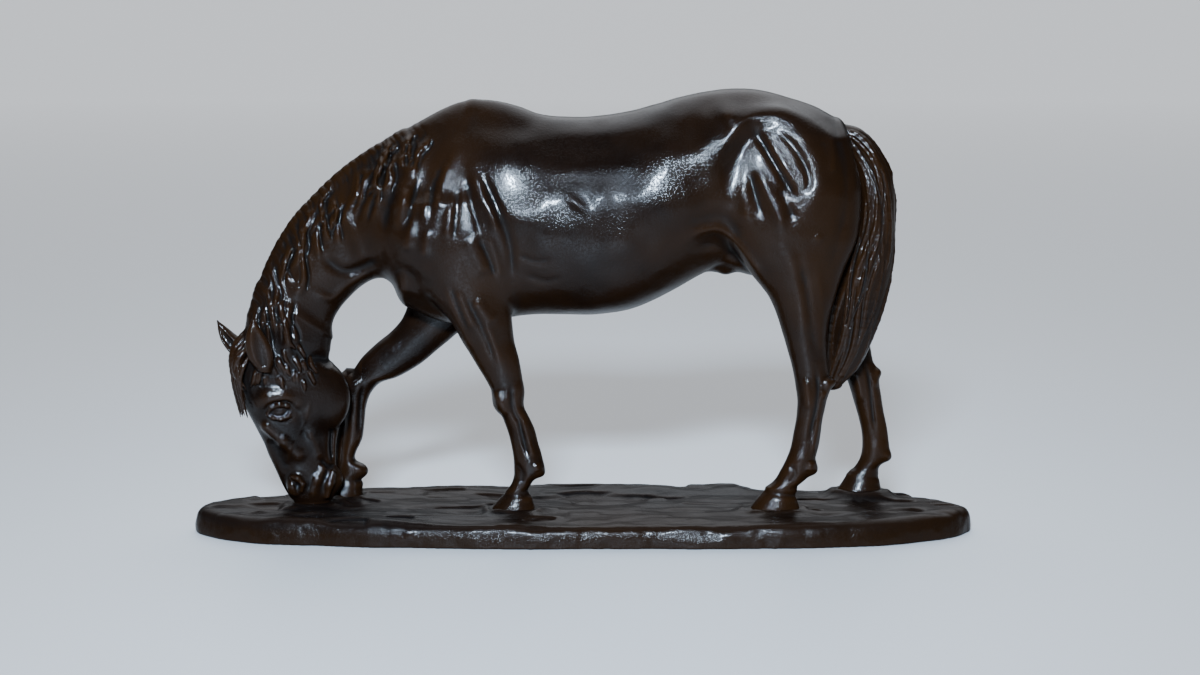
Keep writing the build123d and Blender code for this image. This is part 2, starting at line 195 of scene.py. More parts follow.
def cord(lat, points, radius, k=1.0, sides=(1,)):
    """Chain of round cones through points (x, y, z), with radii spread evenly over the points.
    k < 0 carves it as a groove."""
    radii = np.interp(np.linspace(0, 1, len(points)), np.linspace(0, 1, len(radius)), radius)
    for side in sides:
        for p, q, ra, rb in zip(points, points[1:], radii, radii[1:]):
            a = np.array((p[0], p[1] * side, p[2]))
            b = np.array((q[0], q[1] * side, q[2]))
            reach = max(ra, rb) + abs(k) + 1.0
            found = lat.window(np.minimum(a, b) - reach, np.maximum(a, b) + reach)
            if not found:
                continue
            cut, x, y, z = found
            d = b - a
            x, y, z = x - a[0], y - a[1], z - a[2]
            t = np.clip((x * d[0] + y * d[1] + z * d[2]) / max((d * d).sum(), 1e-9), 0, 1)
            dist = np.sqrt((x - d[0] * t) ** 2 + (y - d[1] * t) ** 2 + (z - d[2] * t) ** 2)
            lat.put(cut, dist - (ra + (rb - ra) * t), k)


def cords(lat, rows):
    """Cords on both sides, from a table of (points, radii, k)."""
    for points, radii, k in rows:
        cord(lat, points, radii, k, (-1, 1))


def grain(places, cell, seed):
    """Smooth noise between -1 and 1 at places (x, y, z), one random value each cell millimetres."""
    count = 32
    rng = np.random.RandomState(seed)
    table = rng.uniform(-1, 1, (count, count, count)).astype(np.float32)

    def parts(v):
        v = v / cell
        i = np.floor(v).astype(int)
        return i % count, (i + 1) % count, ease((v - i).astype(np.float32))

    (i, i1, u), (j, j1, v), (l, l1, w) = (parts(axis) for axis in places)

    def row(across, up):
        return table[i, across, up] * (1 - u) + table[i1, across, up] * u

    return (row(j, l) * (1 - v) + row(j1, l) * v) * (1 - w) + (row(j, l1) * (1 - v) + row(j1, l1) * v) * w


def relief(lat, points, width, height, side=0, tilt=0.0):
    """Raise (or with height < 0 hollow) the skin along a line drawn on the side view, or as
    an oval spot when there is one point and width is (a, b). side -1 near, 1 off, 0 both."""
    spot = len(points) == 1
    line = np.array(points, dtype=np.float64)
    reach = 2.6 * (max(width) if spot else width)
    low, high = line.min(axis=0) - reach, line.max(axis=0) + reach
    found = lat.window((low[0], -ASIDE, low[1]), (high[0], ASIDE, high[1]))
    if not found:
        return
    cut, x, y, z = found
    x, z = x[:, 0, :], z[:, 0, :]
    if spot:
        c, s = cos_sin(tilt)
        dx, dz = x - line[0, 0], z - line[0, 1]
        rise = np.exp(-((dx * c + dz * s) / width[0]) ** 2 - ((dz * c - dx * s) / width[1]) ** 2)
    else:
        if len(points) > 2:
            line = spaced(points, 4)
        length = np.hypot(*np.diff(line, axis=0).T)
        start = np.concatenate([[0], np.cumsum(length)])
        near = np.full(np.broadcast(x, z).shape, 1e9)
        run = np.zeros_like(near)
        for (ax, az), (bx, bz), long, begun in zip(line, line[1:], length, start):
            t = np.clip(((x - ax) * (bx - ax) + (z - az) * (bz - az)) / long ** 2, 0, 1)
            d = np.hypot(x - ax - t * (bx - ax), z - az - t * (bz - az))
            run = np.where(d < near, begun + t * long, run)
            near = np.minimum(near, d)
        taper = 0.22 * start[-1]
        fade = ease(np.minimum(run, start[-1] - run) / taper)
        rise = np.exp(-(near / width) ** 2) * (0.15 + 0.85 * fade)
    mask = ease((y * side + 1.0) / 5.0) if side else np.ones_like(y)
    lat.value[cut] -= (height * rise[:, None, :] * mask).astype(np.float32)


def relieve(lat, rows, wider=1.0, higher=1.0):
    """Relief along each of a table of lines: (points, width, height, and a side if on one only)."""
    for points, width, height, *side in rows:
        relief(lat, points, width * wider, height * higher, *side)


def plane_off(lat, x, skin, z, turn, lift, size):
    """Flatten the skin round (x, z) on both sides: a very shallow dome, facing turn degrees off
    the side and lift degrees up, whose middle stands skin mm off the middle plane. It fades out
    beyond size mm."""
    radius = 110.0
    soft = 1.2     # mm over which the dome runs into the skin
    reach = 1.6
    far = size * reach
    found = lat.window((x - far, -ASIDE, z - far), (x + far, ASIDE, z + far))
    if not found:
        return
    cut, gx, gy, gz = found
    ct, st = cos_sin(turn)
    cl, sl = cos_sin(lift)
    dx = gx - x + st * radius
    dy = np.abs(gy) - skin + ct * cl * radius
    dz = gz - z + sl * radius
    dome = np.sqrt(dx * dx + dy * dy + dz * dz) - radius
    old = lat.value[cut]
    h = np.clip(0.5 + 0.5 * (dome - old) / soft, 0, 1)
    flat = old * (1 - h) + dome * h + soft * h * (1 - h)
    away = np.hypot(gx - x, gz - z) / size
    mask = np.clip((reach - away) / (reach - 1), 0, 1) * np.clip((np.abs(gy) - 6) / 6, 0, 1)
    lat.value[cut] = (old + (flat - old) * ease(mask)).astype(np.float32)


# ---- the horse

def on_middle(*rows):
    """Stations of a part on the middle plane, given without the middle y."""
    return [(*row[:4], 0, *row[4:]) for row in rows]


# Stations of the trunk, upright: (x, top, bottom, half width, widest, pinch)
TRUNK = [(x, top, x, low, 0, *rest) for x, top, low, *rest in (
    (-80, 181.5, 103, 20.5, 0.6, 0.2), (-70, 190.4, 98, 23, 0.58, 0.28),
    (-60, 195.9, 95.8, 26.5, 0.57, 0.32), (-50, 198.1, 96.2, 27.8, 0.56, 0.36),
    (-40, 197.6, 97.4, 29.2, 0.55, 0.3), (-30, 195.2, 99.2, 30.4, 0.54, 0.22),
    (-20, 191.8, 100, 31.4, 0.54, 0.16), (-8, 190.4, 99.9, 32.2, 0.53, 0.12),
    (5, 190.6, 99.9, 32.8, 0.53, 0.1), (20, 192.8, 102, 32.6, 0.52, 0.08),
    (32, 196, 106.6, 31.8, 0.5, 0.08), (44, 199.4, 113, 30.2, 0.48, 0.1),
    (56, 202, 119.6, 28.8, 0.44, 0.14), (70, 203.2, 125, 28.4, 0.42, 0.16),
    (82, 202, 128, 28, 0.44, 0.16), (94, 198.8, 131, 26.6, 0.46, 0.14),
    (105, 195, 136, 23.6, 0.48, 0.1), (114, 190.4, 142, 19, 0.5, 0.05),
)]
NECK = on_middle(
    (-58, 187, -76, 123, 18.5, 0.58, 0.42), (-75, 186.4, -87, 117.8, 19, 0.58, 0.42),
    (-90, 180.4, -93, 117, 17, 0.57, 0.45), (-102, 173.4, -98.2, 115.2, 14.6, 0.56, 0.5),
    (-113.8, 164.4, -103.5, 111.8, 13.2, 0.55, 0.48), (-124.4, 154.6, -108.2, 107.2, 12.2, 0.54, 0.46),
    (-133.8, 144.2, -112, 102.8, 11.4, 0.53, 0.42), (-141.2, 133, -115, 97.8, 10.8, 0.52, 0.38),
    (-147.4, 120.6, -116.6, 92.4, 10.4, 0.51, 0.32), (-151.2, 109.4, -117.6, 86.6, 10.4, 0.5, 0.22),
    (-153.4, 101, -118, 84, 10.4, 0.5, 0.2),
)
HEAD = on_middle(
    (-150.4, 111.5, -117.4, 88.5, 10, 0.5, 0.25), (-153, 101.6, -118, 85.6, 10.6, 0.5, 0.15),
    (-156.2, 93.4, -118, 81.2, 11.3, 0.5, 0.1), (-158.6, 84, -116, 77, 11.9, 0.48, 0.05),
    (-159.8, 74, -112, 71.5, 12.4, 0.46, 0), (-158.6, 64.5, -109.6, 63.5, 12.4, 0.44, 0),
    (-155.8, 56, -110.2, 55.5, 11.6, 0.42, 0), (-152.2, 48.5, -112.6, 49, 10.2, 0.4, 0.05),
    (-148.8, 41.5, -114.2, 42, 8.9, 0.4, 0.12), (-145.8, 34, -115.2, 34.5, 7.9, 0.44, 0.16),
    (-142.6, 26.5, -114.8, 28, 7.5, 0.48, 0.12), (-139.8, 20, -113.6, 22, 7.5, 0.5, 0.05),
    (-137.2, 15.4, -114.6, 17, 7, 0.5, 0), (-134.8, 12.6, -117.5, 12.6, 5.6, 0.5, 0),
)
NEAR_ARM = [
    (-88, 150, -40, 152, -15, 12), (-84, 136, -36.4, 138, -17, 12.5), (-78, 122, -34.8, 124, -17.5, 12),
    (-69, 110, -33.8, 110, -17.2, 10.6), (-60.5, 99, -32.8, 99, -16.8, 9.2),
    (-54.6, 89, -31.6, 89, -16.3, 8), (-49.6, 80.5, -29.8, 80.5, -16, 7.2),
    (-45.2, 72.5, -28.4, 72.5, -16, 6.5), (-42.2, 66.5, -27.4, 66.5, -16, 6.3),
    (-39.4, 59, -27.6, 59.5, -16, 6.2), (-37.2, 53, -25, 53.5, -16, 5.4),
    (-35.2, 47.5, -22.6, 48.5, -16, 4.7), (-33.8, 42, -20.8, 42.5, -16, 4.5),
    (-32.8, 36.5, -19, 37, -16, 4.9), (-32.4, 31.5, -18.2, 32, -16, 5.3),
    (-32.4, 27.5, -19.8, 28, -16, 5.1), (-33.6, 23.8, -23, 25, -16, 4.7),
    (-36.4, 19.8, -25.6, 21, -16, 5),
]
OFF_ARM = [
    (-86, 150, -42, 152, 15, 12), (-84, 134, -40, 136, 17, 12.2), (-83, 120, -42, 122, 18, 11.5),
    (-81.4, 107, -46, 110, 18.6, 10.2), (-84.8, 96.6, -52.8, 95, 19, 9.2),
    (-91, 89.2, -61.2, 87, 19, 8.3), (-98, 82.8, -69.8, 79.6, 19, 7.6),
    (-104.2, 76.8, -78.6, 72.8, 19, 7), (-108.8, 70.6, -87.4, 68, 19, 6.6),
    (-111.6, 65.4, -95.4, 65.2, 19, 6.4), (-112.6, 59.4, -100, 59.8, 19, 5.9),
    (-112.8, 52.5, -102.4, 52.8, 19, 5), (-113.4, 45, -103.6, 45.4, 19, 4.6),
    (-114.2, 38.5, -104.8, 38.8, 19, 4.6), (-114.8, 33, -107.2, 32.6, 19, 4.7),
    (-115.2, 29, -107.4, 28.6, 19, 4.8), (-116, 25.6, -104.6, 25.4, 19, 5.2),
    (-117.2, 22.4, -103.8, 22, 19, 5.2), (-119, 19.4, -105.6, 18.8, 19, 5.2),
]
NEAR_THIGH = [
    (62, 178, 118, 180, -12, 12), (62, 166, 122.5, 168, -14.5, 14), (63, 153, 125.5, 154, -16, 14.8),
    (65, 140, 124, 141, -16.5, 14.4), (70, 129, 120.5, 130, -16.6, 13),
    (76.6, 119, 117, 119.5, -16.6, 11.4), (83.2, 110, 114.4, 110, -16.5, 10),
    (87.6, 101, 112, 101, -16.3, 8.8), (90.4, 92, 110.8, 92, -16.1, 7.8), (93, 83, 110.6, 84, -16, 6.9),
    (94.8, 75, 111.2, 76, -16, 6.4), (96.2, 68, 111.8, 68.5, -16, 6.2), (97.2, 62, 110.8, 62.5, -16, 5.7),
    (96.8, 54, 109, 54.5, -16, 4.9), (95.6, 47, 108, 47.5, -16, 4.6), (94.4, 40, 106.8, 41, -16, 4.8),
    (92.2, 34, 105.4, 35.5, -16, 5.3), (89.8, 29.5, 104.2, 30, -16, 5.2),
    (87.6, 25.6, 101.2, 26, -16, 4.8), (83.4, 21.8, 97.2, 22.6, -16, 5.1),
]
OFF_THIGH = [
    (64, 178, 118, 180, 12, 12), (65, 166, 123, 168, 14.5, 14), (66, 153, 126, 154, 16, 14.8),
    (68.5, 140, 126.4, 141, 16.8, 14.4), (71.5, 129, 126.4, 130, 17.4, 13),
    (77, 119, 126.8, 119.5, 18, 11.4), (86, 110, 128.2, 110, 18.8, 10), (96, 101, 130.4, 100, 19.4, 8.9),
    (104.6, 92, 132.4, 91, 20, 8), (111.6, 84, 134, 83, 20, 7.1), (117, 76.4, 135.2, 75.6, 20, 6.6),
    (121.6, 69, 137, 68.5, 20, 6.3), (124.6, 62, 138.2, 62, 20, 5.8), (127, 54, 139.6, 54.5, 20, 4.9),
    (128.8, 46.5, 141.2, 47, 20, 4.6), (130, 39.5, 142.8, 40, 20, 4.7),
    (130.2, 33.5, 143.6, 34.5, 20, 5.3), (129.4, 28.5, 142.4, 29, 20, 5.2),
    (127.2, 24.6, 138.8, 25, 20, 4.8), (123.6, 21.4, 138, 21.8, 20, 5.2),
]
# Hooves: (toe x, heel x, middle y, ground z, coronet front x and z, coronet heel x and z)
HOOVES = [
    (-42.4, -22.4, -16, 12.5, -36.6, 18.6, -24, 17),
    (-123, -104.8, 19, 12.2, -118.6, 18.4, -105, 17.2),
    (76.4, 98.2, -16, 12.5, 82.4, 19.2, 96.4, 17.2),
    (119.4, 139.6, 20, 14.5, 123.8, 20.4, 138, 18.8),
]


def hoof(lat, toe, heel, y, ground, fx, fz, rx, rz):
    rows = [
        (fx + 1.2, fz + 2.2, rx - 1.2, rz + 2.2, y, 3.6),
        (fx - 0.7, fz, rx + 0.5, rz, y, 5.6),
        (fx + (toe - fx) * 0.6, (fz + ground) / 2, rx + (heel - rx) * 0.6, (rz + ground) / 2, y, 6.5),
        (toe, ground, heel, ground, y, 7.2),
        (toe - 1, ground - 3, heel + 0.4, ground - 3, y, 7.6),
    ]
    tube(lat, rows, 1.4, cap=1.2, steps=6)
    cord(lat, [(rx + 0.6, y, rz - 1), (heel - 1.2, y, ground + 0.5)], (0.9, 0.7), -0.8)


# Relief on the side view: (points, width, height, side), with no side where it is on both.
SHOULDER = [
    # blade of the shoulder: front edge, the folds of the neck before it, the mound behind
    ([(-68, 186), (-75, 178), (-81, 168), (-88, 150), (-91, 138)], 1.5, -1.2),
    ([(-62, 190), (-71, 180), (-77, 168), (-84, 150), (-87, 140)], 3, 1.2),
    ([(-84, 176), (-90, 162), (-97, 142)], 1.5, 1.2, -1),
    ([(-89, 174), (-95, 160), (-101, 145)], 1.4, 0.9, -1),
    ([(-86.5, 175), (-92.5, 161), (-99, 142)], 0.9, -1, -1),
    ([(-92, 174), (-98, 159), (-104, 143)], 1, -0.8, -1),
    ([(-78, 161), (-81, 152), (-85, 140)], 1.8, 1.2), ([(-76.5, 148), (-78, 140), (-80, 130)], 2, 1.1),
    ([(-74, 164), (-77, 152), (-80, 141)], 0.9, -0.8), ([(-60, 172), (-65, 161), (-65.5, 150)], 1.6, 1),
    ([(-63, 170), (-68, 158), (-69, 148)], 1, -0.8), ([(-69, 159), (-71, 150), (-72, 144)], 1.4, 0.8),
    ([(-69.5, 142), (-71, 135), (-72, 128)], 1.5, 0.9),
    ([(-59, 153), (-60.5, 145), (-61.5, 137)], 1.5, 0.9),
    ([(-56, 160), (-57, 148), (-58, 136)], 1.1, -0.7),
    # triceps, with its rear edge and the streak above the elbow
    ([(-50, 168), (-47, 160), (-42, 149), (-38, 137)], 1.7, 1.1),
    ([(-46, 168), (-42, 158), (-37, 147), (-33, 134), (-32, 118)], 1.5, -1.5),
    ([(-53, 166), (-51, 156), (-48, 146), (-46, 138)], 1.1, -0.8),
    ([(-52, 139), (-48, 130), (-44, 120)], 2.6, 1.2), ([(-43, 140), (-39, 128), (-37, 118)], 1.4, 0.7),
    ([(-47, 138), (-43, 129), (-40, 120)], 0.9, -0.8),
    # breast and the top of the foreleg
    ([(-88, 122), (-76, 120), (-66, 113)], 2.6, -0.9), ([(-84, 112), (-74, 106), (-64, 103)], 2.2, -0.7),
    ([(-63, 117), (-60, 110), (-56, 98), (-50, 84)], 2, 1),
    ([(-57, 115), (-54, 106), (-50, 95)], 1.7, 0.9), ([(-60, 116), (-57, 107), (-52, 94)], 0.9, -0.9),
    ([(-50, 110), (-45, 104), (-40, 98)], 2.2, 1),
    ([(-53, 112), (-49, 103), (-44, 92), (-40, 80)], 1, -0.8),
    ([(-45, 100), (-41, 90), (-37, 78)], 1.6, 0.5), ([(-30, 130), (-21, 127), (-14, 128)], 1.1, -0.6),
    ([(-27, 121), (-17, 118), (-9, 120)], 1.2, -0.6),
]
# Oval spots: (middle, half sizes, height, tilt)
SPOTS = [
    ((-50, 144), (11, 16), 1, 75), ((-83, 130), (7, 9), 1.2, 0), ((-28, 148), (14, 8), 0.8, -12),
    ((-81, 111), (7, 5), 1, -30), ((-3, 153), (6, 2.2), 0.7, -35), ((49, 184), (7, 7), -1.3, 0),
    ((64, 193), (5, 5), 1.4, 20), ((70, 146), (8, 10), 1.2, 20), ((118, 160), (6, 14), 0.8, -80),
    ((-30, 186), (14, 5), -0.9, 0), ((-83, 160), (7, 6), 1.6, 0), ((-83, 138), (7, 6), 0.8, 0),
    ((-29, 160), (12, 8), -0.8, 0), ((49, 164), (11, 6), -0.6, 40), ((44, 153), (16, 10), 1.2, 0),
]
HAUNCH = [
    ([(-18, 184), (14, 185), (44, 192)], 3.6, 0.6), ([(57, 196), (62, 184), (62, 168), (62, 154)], 3, -1),
    # horseshoe of muscle round the leaf of the thigh, and the furrow across it
    ([(70, 176), (69, 184), (73, 189), (81, 189), (90, 185), (98, 180), (103.5, 171), (104.5, 160),
     (101, 150), (96, 143)], 4.4, 1.1),
    ([(75, 187), (79, 181), (84.5, 172), (92, 159), (95, 153)], 1.5, -1.9),
    ([(85, 186), (93, 179), (98.5, 170), (100.5, 162), (97, 157)], 1.3, -1),
    ([(82, 181), (88, 171), (95, 160)], 1.6, 0.6), ([(87, 161), (91, 153), (94, 145)], 1.5, -1.2),
    ([(77, 169), (82, 158), (87, 147), (89, 139)], 2, 1.2),
    ([(74, 168), (77, 156), (80, 146)], 1.4, -1.1), ([(70, 163), (72, 153), (73, 144)], 1.9, 1),
    ([(110, 183), (111.5, 174), (110.5, 165)], 1.6, 0.8),
    ([(112, 188), (116.5, 173), (117, 154), (113, 134), (109, 118)], 2, -1),
    # fold of the flank, inner edge of the thigh, long muscles down to the hock
    ([(46, 136), (52, 140), (60, 141), (66, 137), (73, 129), (82, 116)], 1.6, 1.6),
    ([(44, 142), (52, 146), (61, 147), (67, 143), (72, 136)], 2.2, -1),
    ([(50, 133), (58, 134), (65, 130), (72, 122)], 1.8, -0.8),
    ([(84, 140), (92, 128), (97, 114), (99, 98)], 2.6, 0.6),
    ([(96, 130), (100, 113), (102.5, 97), (104.5, 82)], 1.5, -0.9, -1),
    ([(104, 126), (107, 110), (107.5, 95), (108, 80)], 1.4, 0.5, -1),
    ([(103, 139), (106.5, 136)], 1.6, 0.7, -1),
    ([(108, 130), (114, 113), (120, 97), (127, 82)], 1.6, -1.1, 1),
]
LOWER_LEGS = [
    # near foreleg: knee bones, tendons, fetlock
    ([(-41, 68), (-37.5, 60), (-35.5, 55)], 2, 0.8, -1),
    ([(-33, 70), (-32.5, 60), (-29.5, 52)], 1.2, -0.8, -1),
    ([(-28, 56), (-25.5, 46), (-22.5, 36)], 1, 0.5, -1),
    ([(-30, 56), (-28, 46), (-25.5, 36)], 1, -0.8, -1), ([(-22, 34), (-20.5, 30)], 1.6, 0.7, -1),
    ([(-31, 34), (-28, 29), (-29, 24)], 1.3, -0.5, -1),
    # off foreleg
    ([(-110, 72), (-110.5, 62), (-109, 55)], 2.2, 0.7, 1),
    ([(-103, 66), (-105, 56), (-106, 40)], 1.1, -0.8, 1),
    ([(-103.5, 54), (-104, 45), (-106, 36)], 1, 0.4, 1),
    # near hind leg: hock, tendons, fetlock
    ([(110, 74), (111, 68), (108, 63)], 1.8, 0.9, -1), ([(100, 74), (101, 66), (102, 58)], 1.8, 0.8, -1),
    ([(105, 78), (106, 68), (105, 58), (102, 44)], 1.1, -0.9, -1),
    ([(107, 56), (105.5, 46), (103.5, 38)], 1, 0.5, -1), ([(104, 35), (103, 30)], 1.8, 0.7, -1),
    ([(94, 34), (96, 29), (93, 25)], 1.3, -0.5, -1),
    # off hind leg
    ([(136, 76), (137.5, 69), (135, 63)], 1.8, 0.8, 1), ([(126, 72), (128, 64), (129, 56)], 1.8, 0.7, 1),
    ([(131, 76), (133, 66), (134.5, 54), (136, 42)], 1.1, -0.9, 1),
]


def legs(lat):
    for rows, cap in ((NEAR_ARM, 5), (OFF_ARM, 5), (NEAR_THIGH, 6), (OFF_THIGH, 6)):
        tube(lat, rows, 5, cap)
    lump(lat, (-37, -16, 62.5), (6.2, 6.2, 4.6), 70, 3.5)
    lump(lat, (-106.6, 19, 64), (5, 6, 4), 60, 3.5)
    lump(lat, (109.4, -16, 70), (3, 4.6, 5.4), -80, 1.6)
    lump(lat, (133.4, 20, 69), (2.6, 4.2, 5.4), -80, 1.6)
    for fetlock in ((-21.2, -16, 29.6), (-105.6, 19, 24), (103, -16, 31.2), (141.2, 20, 30.6)):
        lump(lat, fetlock, (2.8, 4, 3.6), 60, 3)
    relieve(lat, LOWER_LEGS)
    for sizes in HOOVES:
        hoof(lat, *sizes)


def trunk(lat):
    tube(lat, TRUNK, 8, cap=9)
    tube(lat, NECK, 8, cap=4)
    lump(lat, (61, 0, 123), (7, 4.6, 3.8), -15, 3)
    lump(lat, (64, 0, 120.4), (2.6, 2.2, 1.8), -30, 1.8)
    lump(lat, (84, 16.5, 177), (23, 8.5, 17), 0, 9, (-1, 1))
    lump(lat, (75, 0, 126), (13, 11, 7.5), -20, 6)


def body_relief(lat):
    plane_off(lat, 88, 28.6, 168, -4, 12, 18)
    relieve(lat, SHOULDER + HAUNCH, 1.4, 0.8)
    for at, size, height, tilt in SPOTS:
        relief(lat, [at], size, height, 0, tilt)
    for x, height in ((-20, 0.35), (-8, 0.2), (5, 0.25), (19, 0.15)):
        relief(lat, [(x + 5, 164), (x, 146), (x + 1, 128)], 4.5, height)
    # unevenness of the modelled clay, away from the middle plane
    x, y, z = np.ix_(*lat.axes)
    sides = np.clip((np.abs(y) - 6) / 14, 0, 1)
    lat.value -= sides * (0.75 * grain((x, y, z), 19, 41) + 0.3 * grain((x, y, z), 9, 42))
    # throat and underside of the neck
    relieve(lat, (
        ([(-112, 150), (-106, 138), (-101, 124)], 3, 0.7),
        ([(-121, 128), (-112, 121), (-103, 122), (-92, 127)], 2.6, -1.3),
        ([(-126, 112), (-117, 108), (-110, 113), (-98, 121)], 2.2, 0.8),
    ))


def mane(lat):
    """Wavy locks of the mane, which hang down the near side beside the crest."""
    rng = np.random.RandomState(11)
    crest = [(-152, 104), (-147.5, 119), (-141, 133), (-132, 146), (-121, 157.5), (-110, 167),
             (-98, 175.5), (-86, 182.5), (-72, 188.5)]
    roots = spaced(crest, 8)
    relief(lat, roots[::8], 5, 0.7, -1)
    for i in range(40):
        at = rng.uniform(0, 1)
        k = int(at * (len(roots) - 2))
        along = roots[k] - roots[k + 1]
        along /= np.hypot(*along)
        down = along * (0.95 - 0.35 * at) + np.array((0.12 + 0.16 * at, -0.45))
        down /= np.hypot(*down)
        across = np.array((-down[1], down[0]))
        inward = rng.uniform(0, 1) ** 0.8 * (15 - 8 * at)
        start = roots[k] + across * inward + np.array((0.8, -0.8))
        long = rng.uniform(16, 30) * (1 - 0.3 * at)
        phase = rng.uniform(0, 6.28)
        sway = rng.uniform(0.8, 2.2)
        path = []
        for t in np.linspace(0, 1, 7):
            side = sway * (math.sin(phase + 5.5 * t) - math.sin(phase)) + 3.5 * t * t
            path.append(start + down * long * t + across * side)
        size = rng.uniform(1.4, 2.8)
        relief(lat, path, size, rng.uniform(0.7, 1.2), -1)
        relief(lat, [p + across * size * 1.2 for p in path[:6]], 0.8, -rng.uniform(0.5, 0.9), -1)
        relief(lat, [p - across * size * 0.3 for p in path[1:5]], 0.5, -0.45, -1)
    # roots parted over the crest, scalloping its outline
    notches = 40
    for i in range(notches):
        at = (i + 0.5) / notches
        x, z = roots[int(at * (len(roots) - 1))]
        out = rng.uniform(1, 4)
        notch = [(x - 3, z + 1), (x + out * 0.4, z - out), (x + out * 0.7, z - out - 4)]
        relief(lat, notch, 0.7, -rng.uniform(0.15, 0.35))


def head(lat):
    tube(lat, HEAD, 5, cap=3)
    both = (-1, 1)
    # jaw, cheek, bars of the jaw and chin
    lump(lat, (-122.5, 5, 62.5), (12.4, 5, 12.5), 15, 6, both)
    lump(lat, (-116, 4.4, 57.5), (5.6, 4.2, 9), -10, 4, both)
    lump(lat, (-116.6, 0, 22.5), (4.6, 5.2, 5), 0, 2.5)
    # cheek bone ridge and brow, then the eye socket and the eyeball
    cords(lat, (
        ([(-147.5, 7.9, 49), (-140, 7.7, 42), (-133, 6.8, 36)], (1.2, 1, 0.6), 5),
        ([(-150, 8, 60.6), (-146, 9.4, 63), (-140.5, 9.9, 63.4), (-134, 8.8, 61.5)],
         (0.7, 1.1, 1.1, 0.6), 6),
    ))
    lump(lat, (-141.6, 13, 57), (6.2, 2.2, 4), 14, -3, both)
    lump(lat, (-141.4, 8.5, 56.8), (4.2, 3.4, 3.3), 12, 0.9, both)
    # upper and lower lid, and the folds above and below them
    cords(lat, (
        ([(-147, 10.2, 55.6), (-145.2, 11.2, 58.6), (-141.8, 11.9, 60), (-138.2, 11.6, 59.4),
          (-135.8, 10.6, 57.4)],
         (0.4, 0.75, 0.95, 0.8, 0.4), 1.1),
        ([(-147, 10, 55), (-144.6, 10.9, 53.6), (-141, 11.2, 53), (-137.6, 11, 54.4), (-135.8, 10.5, 57)],
         (0.3, 0.5, 0.6, 0.5, 0.3), 1.2),
        ([(-147.6, 10.6, 60), (-144.2, 12, 61.8), (-140, 12.4, 62.2), (-136.4, 11.8, 60.8)],
         (0.3, 0.55, 0.55, 0.2), -0.8),
        ([(-146.8, 10.6, 62.8), (-143, 12.2, 64.2), (-139, 12.4, 64.2)], (0.2, 0.45, 0.2), -0.7),
        ([(-147, 10.4, 52.6), (-143.2, 11.2, 50.8), (-138.4, 11.2, 51.4), (-135.4, 10.8, 54)],
         (0.2, 0.4, 0.4, 0.2), -0.8),
    ))
    # hollow above the eye, side of the nose, groove before the jaw
    relieve(lat, (
        ([(-151, 70), (-147, 72)], 2.6, -1.2),
        ([(-146.5, 44), (-141, 34), (-137, 27)], 2.6, -1),
        ([(-134, 60), (-131, 50), (-130, 41)], 2.4, -0.7),
        ([(-128.5, 48), (-125, 40), (-122.5, 32)], 2.2, 0.7),
        ([(-117.2, 48), (-117.8, 38), (-117, 30)], 1.1, -1.2),
        ([(-131, 78), (-124, 80), (-116, 76)], 2.4, -1.3),
        ([(-136, 70), (-130, 74), (-124, 75)], 2, 0.6),
    ))
    # nostrils, then the lips and the corner of the mouth
    lump(lat, (-134.2, 5.6, 21.6), (3.6, 2.4, 5.4), -20, 3, both)
    cords(lat, (
        ([(-136.4, 7.6, 25.4), (-133.6, 8.2, 24.6), (-131.4, 8.1, 21.8), (-131.8, 7.8, 18.4)],
         (0.6, 0.9, 0.9, 0.5), 1.6),
        ([(-135.6, 8.2, 22.8), (-133.9, 8.4, 21), (-133.8, 7.9, 18.6)], (0.7, 1.2, 0.6), -1),
        ([(-119.6, 8.2, 27.4), (-121.4, 8.2, 23), (-122.8, 8, 17.5), (-123.4, 7, 12.5)],
         (0.3, 0.6, 0.7, 0.7), -0.8),
        ([(-121.6, 6.6, 28.8), (-124.6, 6.6, 23.5), (-126.4, 6.4, 18)], (0.7, 1, 0.8), 2.8),
        ([(-117.2, 6, 26.6), (-118.8, 6.6, 21), (-119.8, 6.4, 15.5)], (0.7, 1, 0.8), 2.8),
        ([(-126.8, 8, 25), (-128.4, 8, 20.5), (-128.8, 7.6, 15.5)], (0.2, 0.45, 0.3), -0.8),
    ))
    # crease behind the mouth, and the veins on the side of the face
    relieve(lat, (
        ([(-123, 33), (-119.5, 29.5), (-115.6, 29)], 1.1, -0.8),
        ([(-127, 62), (-130, 52), (-133, 44)], 0.9, 0.18),
        ([(-133, 44), (-137, 38), (-138, 31)], 0.9, 0.18), ([(-131, 49), (-126, 42)], 0.9, 0.18),
    ))


